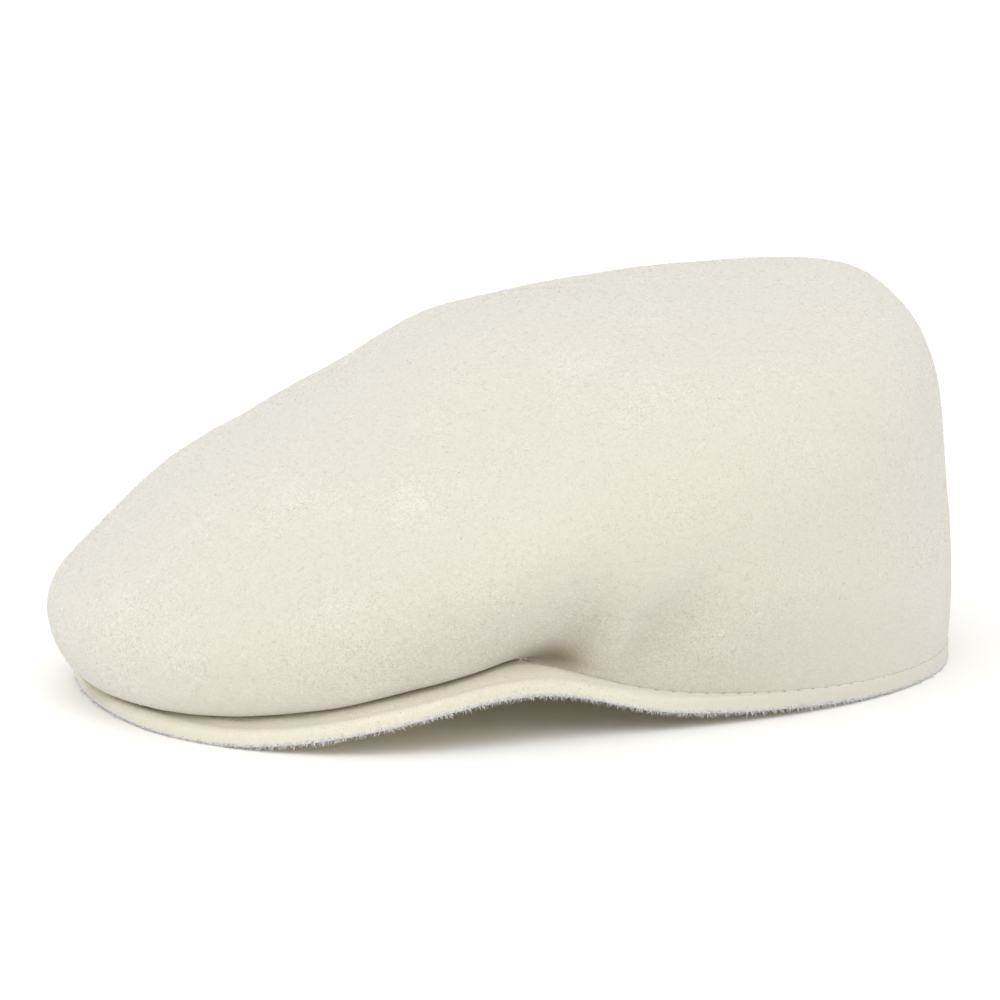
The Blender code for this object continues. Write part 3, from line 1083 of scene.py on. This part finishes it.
@dataclass
class Peak:
    """The peak: a stiff curved plate of felt, its raw edge running on into the crown's rim."""

    shape: CapShape
    end: float = 4.15
    flush: float = 3.55
    tuck: float = 0.3
    columns: int = 340
    top_rows: int = 32
    corner_rows: int = 12
    face_rows: int = 7
    cut_depth: float = 0.8
    # The strip's painted light: its share at the edge, and the width of peak below which it stays full.
    outer_painted_light: float = 0.5
    cover_width: float = 12.0
    # Painted olive shade along the crease, ending inside the lip.
    crease_share: float = 0.4
    crease_inside: float = 2.4
    crease_fade: float = 1.2
    relief: tuple[SoftNoise, ...] = (SoftNoise(22.0, 0.22, 11), SoftNoise(8.0, 0.08, 13))
    relief_rise: tuple[float, float] = (2.0, 4.0)
    relief_margin: float = 4.0

    def build(self, material: bpy.types.Material) -> tuple[bpy.types.Object, Grid]:
        """Makes the peak's mesh as a loop of rows carried round the front of the head.

        The loop runs out over the upper face, round the raw edge and back along the under side. Soft noise
        moves the plate up and down and fades out at the edge and near the floor. The strip's painted light is
        full at the foot, where the overhang shades the peak, and falls by S curves to its outer share. The
        crease's painted olive shade ends by an S curve inside the lip.

        Args:
            material: the felt.

        Returns:
            The object, and its upper face and edge as a grid.
        """
        shape = self.shape
        sizes = shape.sections(np.linspace(-self.end, self.end, self.columns))
        tuck = self.tuck * eased(np.abs(sizes["step"]), self.flush, self.end - self.flush)[:, None]
        foot, edge, edge_z, lip = (sizes[name][:, None] for name in ("foot_r", "edge_r", "edge_z", "lip_r"))
        stop = edge - shape.edge_rounding(sizes)[0]
        top_r = foot + (stop - foot) * np.linspace(0, 1, self.top_rows)[None, :]
        top_z = shape.top_height(sizes, top_r) - tuck
        under_z = top_z - shape.edge_height + 2 * tuck
        bottom = under_z[:, -1:]
        inner_r = foot - shape.peak_margin + tuck
        turns = np.linspace(0, 90, self.corner_rows + 1)[1:]
        downs = np.linspace(0, 1, self.face_rows + 1)[1:]
        cut_r, cut_z = shape.raw_edge(sizes, tuck, bottom, turns, downs)
        radius = np.hstack((inner_r, top_r, cut_r, top_r[:, ::-1], inner_r))
        height = np.hstack((top_z[:, :1], top_z, cut_z, under_z[:, ::-1], under_z[:, :1]))
        points = shape.placed(sizes["angle"][:, None], radius, np.maximum(height, 0))
        swell = sum(noise.at(points) for noise in self.relief)
        fade = eased(points[..., 2] / MM, *self.relief_rise) * eased(edge - radius, 0, self.relief_margin)
        points[..., 2] += swell * fade * MM
        rows = points.shape[1]
        loops = Grid(np.concatenate((points, points[:, :1]), axis=1), wraps=False).quads()
        column, row = np.divmod(loops, rows + 1)
        quads = column * rows + row % rows
        ends = np.stack((np.arange(rows), (self.columns - 1) * rows + np.arange(rows)[::-1]))
        piece = new_piece("peak_felt", points.reshape(-1, 3), (quads, ends), material)
        on_cut = (radius > edge - self.cut_depth) & (height < edge_z + shape.cut_height)
        mark_vertices(piece, "cut", np.where(on_cut, 1 - eased(height, bottom, shape.cut_height), 0))
        # Painted light on the strip, full at the foot under the overhang.
        outward = eased(radius, foot, np.maximum(edge - foot, 1)) * eased(edge - foot, 0, self.cover_width)
        mark_vertices(piece, "strip", self.outer_painted_light + (1 - self.outer_painted_light) * (1 - outward))
        # Painted olive shade along the crease.
        crease = 1 - eased(radius, lip - self.crease_inside, self.crease_fade)
        mark_vertices(piece, "crease", self.crease_share * crease)
        map_seam(piece, np.zeros(radius.size), np.full(radius.size, OFF_SEAM), OFF_SEAM)
        upper = 1 + self.top_rows + self.corner_rows + self.face_rows
        return piece, Grid(points[:, 1:upper], wraps=False)


@dataclass
class Seam:
    """The stitches round the sides and back, just above the rim: one thread that dips between them."""

    shape: CapShape
    first_step: float = 4.65
    line_points: int = 3601
    out: float = 0.12
    down: float = 0.15
    length: float = 4.1
    thread: float = 0.24
    proud: float = -0.02
    unevenness: float = 0.1
    dive: float = 0.6
    lean_width: float = 8.0
    flatness: float = 0.16
    thinnest: float = 0.05
    seed: int = 31
    plies: float = 5.0
    along_rows: int = 14
    around_rows: int = 8

    def build(self, material: bpy.types.Material) -> bpy.types.Object:
        """Makes every stitch as a bent, twisted tube.

        A stitch's middle line follows the seam and sinks at its ends by the sixth power of the distance
        from its middle. Its cross-section is an ellipse that turns, which is how two plies look, and it
        narrows at its ends by the square root of one less the sixteenth power of that distance.

        Args:
            material: the thread.

        Returns:
            One object with all the stitches.
        """
        limit = len(RIM) - 1
        steps = np.linspace(-limit, limit, self.line_points)
        sizes = self.shape.sections(steps)
        line = self.shape.placed(sizes["angle"], sizes["foot_r"] + self.out, sizes["foot_z"] - self.down)
        run = np.concatenate(([0], np.cumsum(np.linalg.norm(np.diff(line, axis=0), axis=1)))) / MM
        count = round(run[-1] / STITCH_PITCH)
        pitch = run[-1] / count
        starts = np.arange(count) * pitch + pitch / 2
        middle_step = np.interp(starts + pitch / 2, run, steps)
        starts = starts[np.abs(middle_step) > self.first_step]
        share = np.linspace(0, 1, self.along_rows)[None, :]
        from_middle = 2 * share - 1
        place = (starts[:, None] + (pitch - self.length) / 2 + self.length * share) % run[-1]
        centre = np.stack([np.interp(place, run, line[:, axis]) for axis in range(3)], axis=-1)
        width = np.interp(place, run, sizes["edge_r"] - sizes["foot_r"])
        angle = np.interp(place, run, np.unwrap(sizes["angle"]))
        lean = np.clip(width / self.lean_width, 0, 1)
        out = unit(np.stack((np.sin(angle), -np.cos(angle), lean), axis=-1))
        uneven = np.random.default_rng(self.seed).uniform(-1, 1, (len(starts), 1)) * self.unevenness
        centre = centre + out * (self.proud + uneven - self.dive * from_middle**6)[..., None] * MM
        ahead = unit(np.gradient(centre, axis=1))
        side = unit(np.cross(ahead, out))
        over = np.cross(side, ahead)
        turn = np.linspace(0, 2 * np.pi, self.around_rows, endpoint=False)[None, None, :]
        twist = self.plies * np.pi * share[..., None]
        swell = self.thread * (1 + self.flatness * np.cos(2 * turn - 2 * twist))[..., None] * MM
        ring = np.cos(turn)[..., None] * side[:, :, None] + np.sin(turn)[..., None] * over[:, :, None]
        taper = np.sqrt(np.clip(1 - from_middle**16, self.thinnest, 1))[..., None, None]
        tube = centre[:, :, None] + ring * swell * taper
        stitches, rows, around = tube.shape[:3]
        base = np.arange(stitches)[:, None, None] * rows * around
        row = np.arange(rows - 1)[None, :, None] * around
        step = np.arange(around)[None, None, :]
        here, beside = base + row + step, base + row + (step + 1) % around
        quads = np.stack((here, beside, beside + around, here + around), axis=-1).reshape(-1, 4)
        first = base[:, 0] + np.arange(around)[None, ::-1]
        last = base[:, 0] + (rows - 1) * around + np.arange(around)[None, :]
        ends = np.concatenate((first, last))
        return new_piece("rim_stitches", tube.reshape(-1, 3), (quads, ends), material)


class Growth(Enum):
    """How loose fibres leave the felt."""

    LYING = "flat on the surface"
    FRINGE = "out of the raw cut"


# Each growth of loose fibres; lengths, widths and lifts are in millimetres.
FIBRE_COLUMNS = ("name", "growth", "count", "shortest", "longest", "width", "lift", "paleness", "seed")
FIBRES = (
    ("crown_nap", Growth.LYING, 46000, 0.5, 2.0, 0.11, 0.45, 0.8, 21),
    ("peak_nap", Growth.LYING, 9000, 0.4, 1.6, 0.06, 0.35, 0.8, 22),
    ("crease_threads", Growth.FRINGE, 5, 1.8, 3.2, 0.22, 0.5, 0.1, 24),
    ("edge_fringe", Growth.FRINGE, 11000, 0.3, 1.9, 0.17, 0.3, 0.5, 23),
)


@dataclass
class LooseFibres:
    """Loose ends of wool, each a thin bent ribbon that tapers to a point."""

    name: str
    growth: Growth
    count: int
    shortest: float
    longest: float
    width: float
    lift: float
    paleness: float
    seed: int
    curl: float = 0.7
    # How far along its length, to the side and off the surface a fibre's middle and its tip are.
    bends: tuple[tuple[float, float, float], ...] = ((0.55, 0.3, 0.75), (0.95, 1.0, 1.0))
    middle_width: float = 0.8
    root_depth: float = 0.05
    floor_gap: float = 0.03
    droop: float = 0.35
    scatter: float = 0.75
    least_out: float = 0.2

    def roots(self, grid: Grid, rng: np.random.Generator) -> tuple[np.ndarray, np.ndarray]:
        """Scatters the fibres over a surface, as thick as its density says.

        The chance of a patch goes with its area times its density, and the place in it is a blend of its
        four corners by two random shares.

        Args:
            grid: the surface.
            rng: the source of random numbers.

        Returns:
            Their roots and the surface's outward normals there.
        """
        points = grid.points
        density = np.ones(points.shape[:2]) if grid.density is None else grid.density
        if grid.wraps:
            points = np.concatenate((points, points[:1]), axis=0)
            density = np.concatenate((density, density[:1]), axis=0)
        a, b = points[:-1, :-1], points[1:, :-1]
        c, d = points[:-1, 1:], points[1:, 1:]
        cross = np.cross(b - a, c - a)
        area = (np.linalg.norm(cross, axis=-1) * density[:-1, :-1]).ravel()
        pick = np.searchsorted(np.cumsum(area) / area.sum(), rng.random(self.count))
        pick = np.minimum(pick, area.size - 1)
        u, v = rng.random((2, self.count, 1))
        a, b, c, d = (corner.reshape(-1, 3)[pick] for corner in (a, b, c, d))
        root = (a * (1 - u) + b * u) * (1 - v) + (c * (1 - u) + d * u) * v
        return root, unit(cross.reshape(-1, 3)[pick])

    def ribbons(
        self, root: np.ndarray, ahead: np.ndarray, up: np.ndarray, rng: np.random.Generator
    ) -> np.ndarray:
        """Bends each fibre from its root.

        A fibre goes its length along its direction, its curl to the side and its lift off the surface, each
        times a share for its middle and one for its tip. The ribbon is rolled by a random angle. Lengths and
        lifts go by the square of a random number, so that most fibres are short and low.

        Args:
            root: where the fibres start.
            ahead: the way each one sets out.
            up: away from the surface.
            rng: the source of random numbers.

        Returns:
            Five points for each fibre: two at its root, two at its middle and one at its tip.
        """
        count = len(root)
        length = (self.shortest + (self.longest - self.shortest) * rng.random((count, 1)) ** 2) * MM
        side = np.cross(ahead, up)
        curl = rng.uniform(-self.curl, self.curl, (count, 1))
        lift = self.lift * MM * rng.random((count, 1)) ** 2
        roll = rng.uniform(0, np.pi, (count, 1))
        across = (np.cos(roll) * side + np.sin(roll) * up) * self.width / 2 * MM
        middle, tip = (
            root + ahead * length * along + side * curl * length * aside + up * lift * off
            for along, aside, off in self.bends
        )
        low = root - up * self.root_depth * MM
        narrow = across * self.middle_width
        points = np.stack((low - across, low + across, middle - narrow, middle + narrow, tip), axis=1)
        points[..., 2] = np.maximum(points[..., 2], self.floor_gap * MM)
        return points

    def build(self, grid: Grid, material: bpy.types.Material) -> bpy.types.Object:
        """Grows the fibres on a surface.

        Args:
            grid: the surface, or for a fringe a strip along the raw cut.
            material: the wool.

        Returns:
            One object with all the ribbons.
        """
        rng = np.random.default_rng(self.seed)
        root, normal = self.roots(grid, rng)
        loose = unit(rng.normal(size=root.shape))
        if self.growth is Growth.LYING:
            ahead = unit(loose - normal * np.einsum("ij,ij->i", loose, normal)[:, None])
        else:
            out = normal * rng.uniform(self.least_out, 1.0, (len(root), 1))
            ahead = unit(out + np.array((0.0, 0.0, -self.droop)) + self.scatter * loose)
        up = unit(normal - ahead * np.einsum("ij,ij->i", normal, ahead)[:, None])
        points = self.ribbons(root, ahead, up, rng)
        base = np.arange(len(root))[:, None] * points.shape[1]
        quads, tips = base + np.array((0, 1, 3, 2)), base + np.array((2, 3, 4))
        piece = new_piece(self.name, points.reshape(-1, 3), (quads, tips), material, closed=False)
        tone = rng.random(len(root)) ** self.paleness
        mark_vertices(piece, "tone", np.repeat(tone, points.shape[1]))
        return piece


@dataclass(frozen=True)
class CreaseEnd:
    """The tiny patch where the overhang meets the peak's end, from which a few loose threads stand."""

    shape: CapShape
    angles: tuple[float, float] = (48.4, 49.4)
    near_steps: tuple[float, float, int] = (3.0, 3.4, 81)
    out: float = 4.5
    heights: tuple[float, float] = (-0.5, 2.0)

    def patch(self) -> Grid:
        """Works out the patch.

        Returns:
            A grid of two by two points.
        """
        steps = np.linspace(*self.near_steps)
        pick = np.searchsorted(self.shape.sections(steps)["degrees"], self.angles)
        sizes = self.shape.sections(steps[pick])
        radius = sizes["foot_r"][:, None] + self.out * np.ones((1, 2))
        height = sizes["foot_z"][:, None] + np.array(self.heights)[None, :]
        return Grid(self.shape.placed(sizes["angle"][:, None], radius, height), wraps=False)


@dataclass(frozen=True)
class RawEdge:
    """The strip along the bottom of the raw cut, where the fringe of loose fibres grows.

    It narrows to almost nothing where the front of the peak and the back are cut more neatly, by a bell of
    the fourth power of the angle from the middle of each such place.
    """

    shape: CapShape
    columns: int = 1440
    inset: tuple[float, ...] = (0.9, 0.1, 0.0)
    rise: tuple[float, ...] = (0.0, 0.15, 0.9)
    neat: tuple[tuple[float, float], ...] = ((-14.0, 22.0), (148.0, 14.0))
    neat_share: float = 0.93

    def strip(self) -> Grid:
        """Works out the strip.

        Returns:
            A grid three points high.
        """
        limit = len(RIM) - 1
        sizes = self.shape.sections(np.linspace(-limit, limit, self.columns, endpoint=False))
        neat = sum(np.exp(-(((sizes["degrees"] - middle) / width) ** 4)) for middle, width in self.neat)
        share = (1 - self.neat_share * neat)[:, None]
        radius = sizes["edge_r"][:, None] - np.array(self.inset)[None, :] * share
        height = sizes["edge_z"][:, None] + np.array(self.rise)[None, :] * share
        return Grid(self.shape.placed(sizes["angle"][:, None], radius, height), wraps=True)


@dataclass(frozen=True)
class PhotoView:
    """The camera, aimed at the middle of the cap from the wearer's front left and a little above."""

    azimuth: float = 60.0
    elevation: float = 10.5
    distance: float = 1.5
    frame_width: float = 0.27778
    sensor_mm: float = 36.0
    aim_y: float = -0.001
    aim_z: float = 0.048
    slide_right: float = -0.0009
    slide_up: float = -0.00028

    def directions(self) -> tuple[np.ndarray, np.ndarray, np.ndarray]:
        """Turns the two angles of the view to directions.

        Returns:
            Unit vectors from the cap to the camera, to the picture's right and up the picture.
        """
        turn, tilt = np.radians(self.azimuth), np.radians(self.elevation)
        back = np.array((np.sin(turn) * np.cos(tilt), -np.cos(turn) * np.cos(tilt), np.sin(tilt)))
        right = np.array((np.cos(turn), np.sin(turn), 0))
        return back, right, np.cross(back, right)

    def build(self) -> bpy.types.Object:
        """Makes the camera and gives it to the scene.

        Returns:
            The camera.
        """
        back, right, up = self.directions()
        aim = np.array((0, self.aim_y, self.aim_z)) + right * self.slide_right + up * self.slide_up
        camera = bpy.data.objects.new("camera", bpy.data.cameras.new("camera"))
        bpy.context.scene.collection.objects.link(camera)
        camera.location = aim + back * self.distance
        camera.rotation_euler = Vector(back).to_track_quat("Z", "Y").to_euler()
        camera.data.sensor_width = self.sensor_mm
        camera.data.lens = self.sensor_mm * self.distance / self.frame_width
        bpy.context.scene.camera = camera
        return camera


@dataclass(frozen=True)
class SoftStudio:
    """A white room: even light from all round, a broad key light mainly from above, and a pale floor."""

    view: PhotoView
    room_light: float = 0.935
    room_tint: tuple[float, float, float, float] = (1.0, 0.998, 0.992, 1.0)
    key_light: float = 0.78
    key_tint: tuple[float, float, float] = (0.98, 0.99, 1.0)
    key_spread: float = 60.0
    key_from: tuple[float, float, float] = (-0.25, 1.0, 0.5)
    floor_half: float = 12.0
    floor_colour: str = "#F9F9FA"
    # A faint warm glow of the floor's own: painted light that lifts and warms its shadows.
    floor_painted_glow: float = 0.06
    floor_painted_glow_tint: tuple[float, float, float, float] = (1.0, 0.87, 0.58, 1.0)

    def build(self) -> bpy.types.Object:
        """Makes the room's light, the key light and the floor.

        Returns:
            The floor.
        """
        world = bpy.data.worlds.new("white_room")
        world.use_nodes = True
        room = {"Color": self.room_tint, "Strength": self.room_light}
        set_inputs(world.node_tree.nodes["Background"], room)
        bpy.context.scene.world = world
        back, right, _ = self.view.directions()
        side, height, front = self.key_from
        level = unit(np.array((back[0], back[1], 0)))
        towards = right * side + np.array((0, 0, 1)) * height + level * front
        sun = bpy.data.lights.new("key_light", "SUN")
        sun.energy = self.key_light
        sun.angle = np.radians(self.key_spread)
        sun.color = self.key_tint
        key = bpy.data.objects.new("key_light", sun)
        bpy.context.scene.collection.objects.link(key)
        key.rotation_euler = Vector(towards).to_track_quat("Z", "Y").to_euler()
        half = self.floor_half
        corners = np.array(((-half, -half, 0), (half, -half, 0), (half, half, 0), (-half, half, 0)))
        floor = new_piece("floor", corners, (np.array(((0, 1, 2, 3),)),), self.floor_finish(), closed=False)
        return floor

    def floor_finish(self) -> bpy.types.Material:
        """Makes matt white paper with a faint warm glow, painted light that lifts and warms the shadows on
        it.

        Returns:
            The material.
        """
        material, _, shader = new_material("floor_paper")
        look = {
            "Base Color": linear(self.floor_colour),
            "Roughness": 1.0,
            "Specular IOR Level": 0.0,
            "Emission Color": self.floor_painted_glow_tint,
            "Emission Strength": self.floor_painted_glow,
        }
        set_inputs(shader, look)
        return material


@dataclass
class FlatCap:
    """The whole cap: crown, peak, stitches and loose wool."""

    shape: CapShape = field(default_factory=CapShape)

    def attach(self, piece: bpy.types.Object, stands_for: str | None = None) -> None:
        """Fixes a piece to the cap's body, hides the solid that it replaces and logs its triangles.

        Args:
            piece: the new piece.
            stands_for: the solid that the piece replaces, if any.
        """
        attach(piece, "root")
        if stands_for:
            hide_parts(stands_for)
        piece.data.calc_loop_triangles()
        LOG.info("%s: %d triangles", piece.name, len(piece.data.loop_triangles))

    def build(self) -> None:
        """Makes every piece and fixes it in place."""
        crown, crown_face = Crown(self.shape).build(WoolFelt("moulded_wool_felt").made())
        self.attach(crown, "crown")
        peak, peak_face = Peak(self.shape).build(WoolFelt("stiffened_wool_felt").made())
        self.attach(peak, "peak")
        self.attach(Seam(self.shape).build(SpunThread("cream_thread").made()))
        wool = LooseWool("loose_wool").made()
        # The cut wool's darker tones are painted shade among the fringe's fibres, mixed with their own random
        # tones.
        cut_wool_painted_shade = LooseWool("cut_wool_painted_shade", pale="#F4F3F4", dark="#9A947F", glow=0.3).made()
        grounds = {
            "crown_nap": (crown_face, wool, "crown_felt"),
            "peak_nap": (peak_face, wool, "peak_felt"),
            "crease_threads": (CreaseEnd(self.shape).patch(), wool, "crown_felt"),
            "edge_fringe": (RawEdge(self.shape).strip(), cut_wool_painted_shade, "crown_felt"),
        }
        for row in FIBRES:
            fibres = LooseFibres(**dict(zip(FIBRE_COLUMNS, row)))
            surface, finish, slot = grounds[fibres.name]
            self.attach(fibres.build(surface, finish))


def main() -> None:
    """Builds the view, the room and the cap."""
    logging.basicConfig(level=logging.INFO, format="%(name)s: %(message)s")
    bpy.context.scene.view_settings.view_transform = "Standard"
    view = PhotoView()
    view.build()
    SoftStudio(view).build()
    FlatCap().build()


if __name__ == "__main__":
    main()
